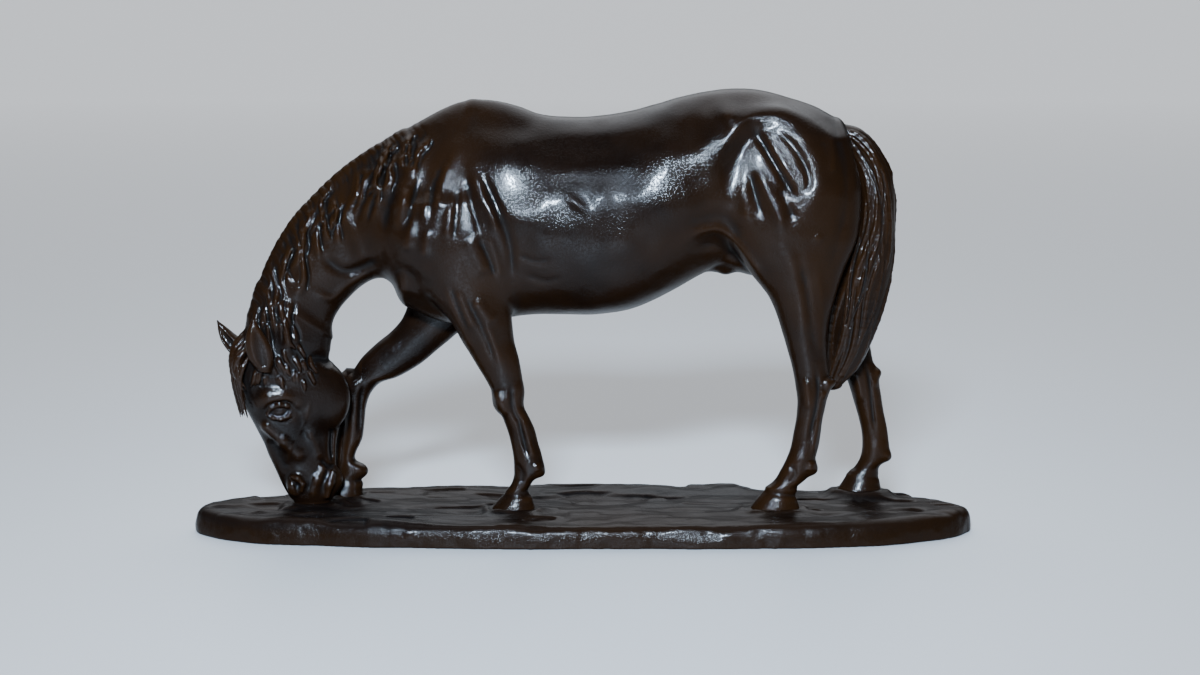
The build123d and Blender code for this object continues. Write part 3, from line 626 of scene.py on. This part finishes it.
def ears(lat):
    near = [(-151.6, 76, -144.6, 75, -11, 3.6), (-155.4, 81.5, -143.8, 80, -13, 3.4),
            (-156.8, 88, -144.8, 86.5, -14.2, 2.9), (-156, 94, -148.2, 92.8, -14.8, 2),
            (-153.8, 99, -151.8, 98.6, -15, 0.8)]
    near_hollow = [(-150.6, 79, -147, 78.6, -16.4, 1.4), (-153.8, 84.5, -146.2, 83.5, -18.2, 2.3),
                   (-154.4, 90, -147.4, 89.2, -18.2, 1.9), (-153.6, 94.4, -150.6, 94, -17.6, 1.1)]
    off = [(-156, 77, -149.5, 82, 8, 3.6), (-161.8, 80.5, -155, 86.4, 10.4, 3.4),
           (-165.6, 85.4, -159.8, 89.8, 12.2, 2.8), (-167.4, 90.4, -163.6, 93, 13.2, 1.6),
           (-168, 95.4, -167.2, 95.8, 13.8, 0.6)]
    off_hollow = [(-162.4, 82, -159, 85, 8.6, 1.3), (-165.6, 86.4, -162.8, 88.8, 10.2, 1.7),
                  (-167, 91, -165.6, 92, 11.6, 0.9)]
    # near ear laid back beside the poll with its hollow turned outward, off ear pricked forward
    for rows, k in ((near, 2), (near_hollow, -1.2), (off, 2), (off_hollow, -0.7)):
        tube(lat, rows, k, cap=0.8, steps=6)


def wisps(lat, rng, spread, path, radius, k):
    """Tuft of three strands that run beside a path and part from it towards the tip."""
    path = np.array(path, dtype=np.float64)
    for i in range(3):
        lean = rng.uniform(-1, 1, 3) * spread
        wave = rng.uniform(-0.25, 0.25, 3) * spread
        t = np.linspace(0, 1, len(path))[:, None]
        strand = path + lean * (0.35 + 0.65 * t) + wave * np.sin(t * 6)
        size = radius * rng.uniform(0.7, 1.2)
        cord(lat, spaced(strand, 4), (size * 0.5, size, size * 0.8, 0.25), k)


def forelock(lat):
    rng = np.random.RandomState(5)
    for i in range(17):
        y = -10.4 + 1.3 * i + rng.uniform(-0.4, 0.4)
        top = (-153.8 + abs(y) * 0.3, y * 0.75, 95 - abs(y) * 0.7)
        drop = rng.uniform(26, 44) - 0.8 * abs(y)
        out = rng.uniform(1.6, 3.4)
        sway = rng.uniform(-1.8, 1.8)
        path = [top, (-158.6 - out + abs(y) * 0.26, y + sway * 0.4, top[2] - drop * 0.3),
                (-160.4 - out + abs(y) * 0.3, y + sway, top[2] - drop * 0.62),
                (-158.6 - out * 0.3 + abs(y) * 0.27, y + sway * 0.3, top[2] - drop)]
        wisps(lat, rng, 0.9, path, 0.95, 0.35)
    # tufts round the root of the ear, over the temple and down the cheek
    tufts = [(-152, 74, -1.5, -5), (-149.5, 75, -1, -6), (-147, 73.5, 0.5, -6), (-144, 76, 1.5, -6),
             (-141.5, 80, 2.5, -6), (-142, 72, 1.5, -5), (-138.5, 84, 3, -6), (-138, 77, 2, -6),
             (-134.5, 81, 2.5, -6), (-132, 86, 3, -5), (-134, 74, 1, -6), (-130.5, 78, 2, -6),
             (-128, 74, 1.5, -5), (-136, 90, 3, -5), (-131, 70, 0.5, -5), (-126.5, 79, 2, -5),
             (-145.5, 69, 0.5, -4)]
    for x, z, dx, dz in tufts:
        depth = 10.9 if x > -145 else 9.4
        bend = rng.uniform(-1.5, 1.5)
        path = [(x - dx * 0.3, -depth + 1.2, z + 2.5), (x + bend * 0.5, -depth - 0.9, z),
                (x + dx * 0.6 + bend, -depth - 1.1, z + dz * 0.55), (x + dx, -depth - 0.2, z + dz)]
        wisps(lat, rng, 1.2, path, 0.75, 0.7)


def horse(lat):
    trunk(lat)
    legs(lat)
    head(lat)
    body_relief(lat)
    mane(lat)
    lat.value -= 0.12 * grain(np.ix_(*lat.axes), 7, 3)


def face(lat):
    horse(lat)
    ears(lat)
    forelock(lat)


TAIL = on_middle(
    (115.5, 180, 117.5, 187.4, 3.8), (118, 177, 126.5, 184.6, 5.4), (121, 171, 134.8, 175.6, 6.8),
    (123.4, 162, 140.2, 165, 8.2), (124, 151.5, 142.2, 152, 9), (123.6, 139, 142.2, 138.5, 9.6),
    (119.4, 126, 141.8, 124.5, 9.6), (116, 113, 139.2, 111, 9), (113, 100, 136, 97.5, 8.2),
    (111.4, 87, 131.4, 85, 7), (110.6, 76, 126.4, 74.8, 5.4), (110.6, 66, 119, 67, 3),
)


def tail(lat):
    """The tail, with strands of hair laid along it and then grooves between them."""
    tube(lat, TAIL, 2, cap=2)
    rng = np.random.RandomState(8)
    rows = spaced(TAIL, 3)
    count = len(rows)

    def path(first, last, turns, out):
        """Points round the tail at one angle for each row, out times as far as its surface."""
        points = []
        for (fx, fz, rx, rz, _, w), turn in zip(rows[first:last], turns):
            back = math.cos(turn) / 2
            x = (fx + rx) / 2 + (rx - fx) * back * out
            points.append((x, w * math.sin(turn) * out, (fz + rz) / 2 + (rz - fz) * back))
        return points

    def strand(lowest, least, most):
        """A random angle, first row and last row, in shares of the tail's length."""
        angle = rng.uniform(0, 2 * math.pi)
        first = int(rng.uniform(0, lowest) * count)
        return angle, first, min(count, first + int(rng.uniform(least, most) * count))

    for i in range(44):
        angle, first, last = strand(0.55, 0.35, 0.75)
        swing = rng.uniform(-1.1, 1.1)
        wave = rng.uniform(0, 6.28)
        turns = [angle + swing * (j - first) / count + 0.16 * math.sin(wave + j * 0.45)
                 for j in range(first, last)]
        if len(turns) > 2:
            size = rng.uniform(0.8, 1.5)
            cord(lat, path(first, last, turns, 0.96), (0.4, size, size, 0.4), 0.5)
    for i in range(30):
        angle, first, last = strand(0.5, 0.3, 0.6)
        turns = [angle + 0.5 * (j - first) / count + 0.12 * math.sin(j * 0.5 + i)
                 for j in range(first, last)]
        if len(turns) > 2:
            cord(lat, path(first, last, turns, 1.05), (0.3, 0.8, 0.3), -0.5)


# ---- the plinth

PLAN = [
    (-180, -7), (-171, -23), (-150, -37), (-118, -43), (-78, -48), (-35, -50), (25, -50), (85, -49),
    (128, -44), (155, -34), (172, -20), (180, -3), (174, 10), (158, 28), (132, 42), (85, 48), (25, 50),
    (-35, 50), (-78, 46), (-118, 40), (-150, 29), (-173, 10),
]
# Where something stands on the ground: x, y, seat height, half length, half width
SEATS = [(-32.4, -16, 12.5, 10.4, 7.6), (-113.9, 19, 12.2, 9.4, 7.6), (87, -16, 12.5, 11.6, 7.8),
         (129.2, 20, 14.5, 10.8, 7.8), (-125.8, 0, 12, 9, 6.6)]
STUDS = [(-31.5, -16), (-112.5, 19), (88, -16), (130.5, 20), (-125.8, 0)]
WALL = 5.2           # thickness of the plinth's wall
ROOF = 7.0           # height of the hollow
BOSS_RADIUS = 7.5
BOSS_FOOT = 5.2      # height of the underside of a boss
BORE_RADIUS = 2.25
EDGE_ROLL = 3.4      # softness of the upper edge
# Swells, mostly along the far edge: x, y, height, half length
SWELLS = [(33, 31, 1.8, 12), (71, 33, 2, 13), (-60, 33, 1, 14), (112, 26, 1.2, 12), (8, 34, 1, 10)]
# Troughs: x, y, half length, half width, depth
TROUGHS = [
    (-146, -6, 9, 3.5, 1.6), (-139, -12, 8, 2.5, 1.3), (-112, -9, 9, 3, 1.2), (-70, -8, 16, 3, 1.2),
    (-52, -20, 9, 3, 1.3), (10, 4, 14, 4, 1), (46, -14, 12, 3, 1.2), (64, 6, 12, 3.5, 1.1),
    (110, -24, 10, 3, 1.3), (-88, 14, 12, 4, 1),
]


def ground(x, y):
    """Height of the cast ground: low folds, pits and clods, raised round each foot."""
    def noise(cell, seed, stretch=1.0):
        return grain((x / stretch, y, np.zeros_like(x)), cell, seed)

    z = 11.2 + 0.9 * noise(34, 21, 1.6) + 0.55 * noise(15, 22, 2.2)
    z = z + 0.3 * noise(7, 23, 2.4) + 0.12 * noise(3.2, 30, 1.6)
    folds = noise(19, 24, 2.8) + 0.35 * noise(8, 25, 2.0)
    z = z + 0.6 * np.clip(folds * 3, -0.5, 0.5)
    pits = noise(8, 26, 2.6)
    z = z - 1.3 * np.clip((pits - 0.42) * 5, 0, 1)
    clods = noise(9, 27, 1.9)
    z = z + 0.6 * np.clip((clods - 0.4) * 4, 0, 1)
    for cx, cy, rise, wide in SWELLS:
        z = z + rise * np.exp(-((x - cx) / wide) ** 2 - ((y - cy) / 7) ** 2)
    for cx, cy, seat, a, b in SEATS:
        away = np.hypot((x - cx) / a, (y - cy) / b)
        near = ease((1.9 - away) / 0.9)
        z = z * (1 - near) + (seat + 0.25 * noise(4, 28)) * near
        rim = np.exp(-((away - 1.22) / 0.16) ** 2)
        z = z + rim * (0.5 + 0.9 * noise(5, 29))
    for cx, cy, a, b, deep in TROUGHS:
        z = z - deep * np.exp(-((x - cx) / a) ** 2 - ((y - cy) / b) ** 2)
    return z


def plan_distance(x, y):
    """Distance outside (+) or inside (-) the outline of the plinth."""
    line = spaced(PLAN[-1:] + PLAN + PLAN[:2], 6)[6:-6]
    best = np.full(x.shape, 1e9)
    odd = np.zeros(x.shape, dtype=bool)
    for (ax, ay), (bx, by) in zip(line, line[1:]):
        dx, dy = bx - ax, by - ay
        t = np.clip(((x - ax) * dx + (y - ay) * dy) / (dx * dx + dy * dy), 0, 1)
        best = np.minimum(best, np.hypot(x - ax - t * dx, y - ay - t * dy))
        if ay != by:
            odd ^= ((ay > y) != (by > y)) & (x < ax + (y - ay) * dx / dy)
    return np.where(odd, -best, best)


def plinth(lat):
    px, py = np.meshgrid(*(axis.astype(np.float64) for axis in lat.axes[:2]), indexing="ij")
    outline = plan_distance(px, py)
    wavy = 0.6 * grain((px, py, px * 0), 24, 31) + 0.25 * grain((px, py, px * 0), 8, 32)
    x, y, z = np.ix_(*lat.axes)
    belly = 0.8 * ((z - 4.5) / 5.5) ** 2 + 0.12 * (z - 5.0)
    rough = 0.5 * grain((x, y, z * 1.6), 11.0, 33) + 0.2 * grain((x, y, z), 3.4, 34)
    wall = (outline + 0.75 + wavy)[:, :, None] + belly + rough
    top = z - ground(px, py)[:, :, None]
    foot = 0.02 - z
    near = np.maximum(EDGE_ROLL - np.abs(wall - top), 0)
    body = np.maximum(wall, top) + near * near * (0.25 / EDGE_ROLL)
    body = np.maximum(body, foot)
    hollow = np.maximum((outline + WALL)[:, :, None], z - ROOF)
    for cx, cy in STUDS:
        away = np.hypot(px - cx, py - cy)[:, :, None]
        hollow = np.maximum(hollow, -np.maximum(away - BOSS_RADIUS, BOSS_FOOT - z))
        body = np.maximum(body, BORE_RADIUS - away)
    lat.value = np.clip(np.maximum(body, -hollow), -FAR, FAR).astype(np.float32)


# ---- meshes

def placed(name, data):
    """A new object in the scene."""
    made = bpy.data.objects.new(name, data)
    bpy.context.scene.collection.objects.link(made)
    return made


TURN_CENTRE_X = -130.0
HEAD_TURN = math.radians(11)


def turn_head(points):
    """Turn neck and head to the near side, more and more from the shoulder to the poll, and
    not at all at the joint with the trunk nor below the throat."""
    x, y, z = points.T
    share = ease(((-70 - x) * 0.7 + (175 - z) * 0.55) / 95)
    share = np.where((x < -70) & ~((x > -108) & (z < 96)), share, 0)
    angle = HEAD_TURN * share * ease((-87 - x) / 22)
    x = x - TURN_CENTRE_X
    c, s = np.cos(angle), np.sin(angle)
    return np.stack([TURN_CENTRE_X + x * c - y * s, x * s + y * c, z], axis=1)


def blurred(value, steps):
    """The field averaged over a box, twice along each axis."""
    wide = 2 * steps + 1
    for axis in (0, 1, 2, 0, 1, 2):
        first, last = np.take(value, [0], axis), np.take(value, [-1], axis)
        padded = np.concatenate([first] * (steps + 1) + [value] + [last] * steps, axis)
        run = np.cumsum(padded, axis, dtype=np.float32)
        count = run.shape[axis]
        value = (np.take(run, range(wide, count), axis) - np.take(run, range(count - wide), axis)) / wide
    return value


def ridges(lat, mesh, points):
    """How much each vertex stands proud (1) or lies in a hollow (-1), as a mesh attribute."""
    blur = 1.7     # mm
    full = 0.45    # height above the blurred skin that counts as 1
    near = np.clip(lat.value, -4, 4)
    proud = blurred(near, max(1, round(blur / lat.step))) - near
    at = np.rint(points / lat.step).astype(int) - lat.first
    at = np.clip(at, 0, np.array(near.shape) - 1)
    shares = np.clip(proud[tuple(at.T)] / full, -1, 1).astype(np.float32)
    mesh.attributes.new("ridge", "FLOAT", "POINT").data.foreach_set("value", shares)


def skin(lat, name, cuts, turned):
    """Mesh a field, trim it at planes (point, outward normal) in millimetres, cap the cuts."""
    band = 3.0
    field = openvdb.FloatGrid(band)
    field.copyFromArray(np.clip(lat.value, -band, band))
    points, quads = field.convertToQuads(isovalue=0.0)
    points = (points + np.array(lat.first, dtype=np.float32)) * lat.step
    mesh = bpy.data.meshes.new(name)
    mesh.from_pydata(points.tolist(), [], quads[:, ::-1].tolist())
    if cuts:
        bm = bmesh.new()
        bm.from_mesh(mesh)
        for at, normal in cuts:
            everything = bm.verts[:] + bm.edges[:] + bm.faces[:]
            made = bmesh.ops.bisect_plane(bm, geom=everything, dist=1e-4, plane_co=at, plane_no=normal,
                                          clear_outer=True)
            rim = [g for g in made["geom_cut"] if isinstance(g, bmesh.types.BMEdge)]
            rim = [e for e in rim if e.is_valid and e.is_boundary]
            for e in rim:
                e.smooth = False
            bmesh.ops.holes_fill(bm, edges=rim, sides=0)
        bm.to_mesh(mesh)
        bm.free()
    co = np.empty(len(mesh.vertices) * 3, dtype=np.float32)
    mesh.vertices.foreach_get("co", co)
    co = co.reshape(-1, 3)
    ridges(lat, mesh, co)
    if turned:
        co = turn_head(co)
    mesh.vertices.foreach_set("co", (co * MM).astype(np.float32).ravel())
    mesh.polygons.foreach_set("use_smooth", np.ones(len(mesh.polygons), dtype=bool))
    mesh.update()
    return placed(name, mesh)


NECK_CUT = ((-86, 0, 150), (-1, 0, 0))
HEAD_CUT = ((-149.5, 0, 110), (-17.5, 0, -30.7))
LEG_CUT = ((0, 0, 90), (0, 0, -1))


def flipped(cut):
    at, normal = cut
    return at, tuple(-n for n in normal)


BELOW_CUT = (flipped(LEG_CUT),)
COARSE = 1.0
castings = {
    # node: (low corner, high corner, step, cuts, whether it turns with the head, field)
    "trunk_casting": ((-89, -36, 86), (132, 36, 206), 0.7, (NECK_CUT, LEG_CUT), False, horse),
    "neck_casting": ((-158, -24, 80), (-83, 24, 192), 0.5, (flipped(NECK_CUT), HEAD_CUT), True, horse),
    "head_casting": ((-172, -20, 8), (-104, 20, 118), 0.35, (flipped(HEAD_CUT),), True, face),
    "near_foreleg": ((-66, -27, 11), (-14, -4, 93), 0.45, BELOW_CUT, False, horse),
    "off_foreleg": ((-127, 8, 11), (-52, 30, 93), 0.45, BELOW_CUT, False, horse),
    "near_hindleg": ((70, -27, 11), (116, -5, 93), 0.45, BELOW_CUT, False, horse),
    "off_hindleg": ((100, 9, 11), (148, 31, 93), 0.45, BELOW_CUT, False, horse),
    "tail_casting": ((106, -14, 60), (148, 14, 192), 0.45, (), False, tail),
    "base_casting": ((-182, -52, -2), (182, 52, 19), 0.6, (), False, plinth),
}
slots = {s["node"]: s["material_slot"] for s in frame["record"]["subparts"]}
sculpted = {}
for node, (low, high, step, cuts, turned, sculpt) in castings.items():
    lat = Lattice(low, high, step * COARSE)
    sculpt(lat)
    piece = skin(lat, node + "_sculpt", cuts, turned)
    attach(piece, "root")
    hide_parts(node)
    sculpted[node] = piece

# ---- materials

def new_material(name):
    mat = bpy.data.materials.new(name)
    mat.use_nodes = True
    tree = mat.node_tree
    place = node(tree, "TexCoord").outputs["Object"]
    return mat, tree, tree.nodes["Principled BSDF"], place


def wire(tree, made, inputs):
    """Give a node's inputs their values, or link them to other nodes' outputs."""
    for key, value in dict(inputs).items():
        if isinstance(value, bpy.types.NodeSocket):
            tree.links.new(value, made.inputs[key])
        else:
            made.inputs[key].default_value = value


def node(tree, kind, inputs=(), **settings):
    made = tree.nodes.new("ShaderNode" + kind)
    for key, value in settings.items():
        setattr(made, key, value)
    wire(tree, made, inputs)
    return made


def ramp(tree, factor, stops):
    made = node(tree, "ValToRGB", {"Fac": factor})
    for element, (place, colour) in zip(made.color_ramp.elements, stops):
        element.position = place
        element.color = (*colour, 1)
    return made.outputs["Color"]


def noise(tree, place, scale, detail, roughness=0.5):
    inputs = {"Vector": place, "Scale": scale, "Detail": detail, "Roughness": roughness}
    return node(tree, "TexNoise", inputs).outputs["Fac"]


def remap(tree, value, start, end, low=0, high=1, **settings):
    """Value carried over from the range start to end into the range low to high."""
    inputs = {"Value": value, "From Min": start, "From Max": end, "To Min": low, "To Max": high}
    return node(tree, "MapRange", inputs, **settings).outputs["Result"]


def mix(tree, factor, a, b):
    return node(tree, "Mix", {"Factor": factor, "A": a, "B": (*b, 1)}, data_type="RGBA").outputs["Result"]


def vector(tree, operation, *inputs, output="Vector"):
    return node(tree, "VectorMath", enumerate(inputs), operation=operation).outputs[output]


def bump(tree, height, strength, distance, **inputs):
    inputs = {"Height": height, "Strength": strength, "Distance": distance, **inputs}
    return node(tree, "Bump", inputs).outputs["Normal"]


def calculate(tree, operation, *inputs):
    return node(tree, "Math", enumerate(inputs), operation=operation).outputs["Value"]


def patina(name, dark, mid, warm, coat, scale=1, edge=None, worn=None):
    """Waxed dark brown patina on cast bronze: finely stippled, clouded, rubbed warmer along the
    ridges, darker and duller in the hollows. Below the height edge it is rubbed warm and waxed
    more; round the place worn, (x, z), the wax is thin."""
    mat, tree, shader, place = new_material(name)
    cloud = noise(tree, place, 24 * scale, 6, 0.6)
    blotch = noise(tree, place, 8, 4, 0.55)
    ridge = node(tree, "Attribute", attribute_type="GEOMETRY", attribute_name="ridge").outputs["Fac"]
    rub = remap(tree, ridge, 0.15, 0.9, 0, 0.22)
    dirt = remap(tree, ridge, -0.1, -0.8, 0, 0.85)
    warmth = ramp(tree, blotch, [(0.4, (0, 0, 0)), (0.66, (0.8, 0.8, 0.8))])
    tint = mix(tree, warmth, ramp(tree, cloud, [(0.34, dark), (0.64, mid)]), warm)
    wax = remap(tree, blotch, 0.38, 0.6, coat * 1.25, coat * 0.7)
    if edge:
        height = node(tree, "SeparateXYZ", {"Vector": place}).outputs["Z"]
        low = remap(tree, height, edge, edge - 0.003, 0, 0.8)
        tint = mix(tree, low, tint, warm)
        wax = remap(tree, low, 0, 0.8, 0.06, coat)
    if worn:
        off = vector(tree, "SUBTRACT", place, (worn[0], 0, worn[1]))
        off = vector(tree, "MULTIPLY", off, (38, 0, 60))
        far = vector(tree, "LENGTH", off, output="Value")
        keep = remap(tree, far, 0.55, 1.15, 0.12)
        wax = calculate(tree, "MULTIPLY", wax, keep)
    rubbed = mix(tree, rub, tint, (warm[0] * 1.9, warm[1] * 1.8, warm[2] * 1.6))
    rough = remap(tree, cloud, 0.3, 0.7, 0.26, 0.38)
    speck = remap(tree, noise(tree, place, 950, 3, 0.7), 0.48, 0.62)
    stipple = bump(tree, speck, 0.28, 0.00012)
    skin_normal = bump(tree, noise(tree, place, 170, 3), 0.13, 0.0006, Normal=stipple)
    wire(tree, shader, {
        "Base Color": mix(tree, dirt, rubbed, (0.0035, 0.0028, 0.0026)),
        "Roughness": calculate(tree, "MULTIPLY_ADD", dirt, 0.3, rough),
        "Metallic": 0.05,
        "Specular IOR Level": 0.03,
        "Coat Weight": wax,
        "Coat Roughness": 0.09,
        "Normal": skin_normal,
        "Coat Normal": skin_normal,
    })
    return mat


horse_bronze = patina("horse_bronze", (0.0024, 0.0012, 0.0008), (0.0058, 0.0026, 0.0014),
                      (0.0138, 0.0055, 0.0017), 0.27, worn=(0.010, 0.158))
ground_bronze = patina("ground_bronze", (0.0020, 0.0018, 0.0020), (0.0036, 0.0029, 0.0029),
                       (0.0080, 0.0035, 0.0014), 0.12, 1.6, edge=0.0085)
for name, piece in sculpted.items():
    piece.data.materials.append(ground_bronze if name == "base_casting" else horse_bronze)


def bare_metal(name, colour, rough):
    mat, tree, shader, place = new_material(name)
    cloud = noise(tree, place, 400, 4)
    wire(tree, shader, {
        "Base Color": ramp(tree, cloud, [(0.3, tuple(c * 0.6 for c in colour)), (0.7, colour)]),
        "Metallic": 1,
        "Roughness": remap(tree, cloud, 0, 1, rough * 0.8, rough * 1.5),
        "Normal": bump(tree, cloud, 0.2, 0.0001),
    })
    return mat


zinc = bare_metal("zinc_plate", (0.6, 0.6, 0.62), 0.32)
rod_bronze = bare_metal("rod_bronze", (0.6, 0.38, 0.19), 0.3)
for name, slot in slots.items():
    if name not in sculpted:
        for material_slot in frame["nodes"][name].material_slots:
            material_slot.material = zinc if slot == "steel_fixings" else rod_bronze

# ---- floor, light, camera

floor_mesh = bpy.data.meshes.new("floor")
floor_mesh.from_pydata([(-150, -30, 0), (150, -30, 0), (150, 600, 0), (-150, 600, 0)], [], [(0, 1, 2, 3)])
floor = placed("floor", floor_mesh)
floor_paint_and_shade, tree, shader, place = new_material("floor_paint_and_shade")
# the floor's pale paint is painted darker near the horse and paler far off: painted shade standing in for
# the fall-off of the studio light
far = vector(tree, "LENGTH", place, output="Value")
painted_floor_shade = ramp(tree, remap(tree, far, 0.4, 5), [(0, (0.5, 0.5, 0.5)), (1, (0.86, 0.86, 0.86))])
wire(tree, shader, {"Base Color": painted_floor_shade})
floor_mesh.materials.append(floor_paint_and_shade)

lamp_place = Vector((-0.1, -1.55, 0.74))
lamp_target = Vector((0, 0, 0.12))
lamp_data = bpy.data.lights.new("key", "AREA")
lamp_data.shape = "RECTANGLE"
lamp_data.size, lamp_data.size_y = 0.28, 0.17
lamp_data.energy = 8.0
lamp_data.color = (0.62, 0.79, 1)
lamp_data.spread = math.radians(45)
lamp = placed("key", lamp_data)
lamp.location = lamp_place
lamp.rotation_euler = (lamp_target - lamp_place).to_track_quat("-Z", "Y").to_euler()

world = bpy.data.worlds.new("studio")
bpy.context.scene.world = world
world.use_nodes = True
sky = world.node_tree
# a dim room under one broad overhead panel, set a little behind the object
upward = node(sky, "TexCoord").outputs["Generated"]
toward = vector(sky, "DOT_PRODUCT", upward, (0, 0.5, 0.866), output="Value")
panel = remap(sky, toward, 0.64, 0.97, 0.06, 3.2, interpolation_type="SMOOTHSTEP")
wire(sky, sky.nodes["Background"], {"Color": (0.9, 0.94, 1, 1), "Strength": panel})

camera_data = bpy.data.cameras.new("camera")
camera_data.lens = 78.2
camera = placed("camera", camera_data)
camera.location = (0.0072, -1.1897, 0.2456)
camera.rotation_euler = (math.radians(82.5), 0, 0)
bpy.context.scene.camera = camera
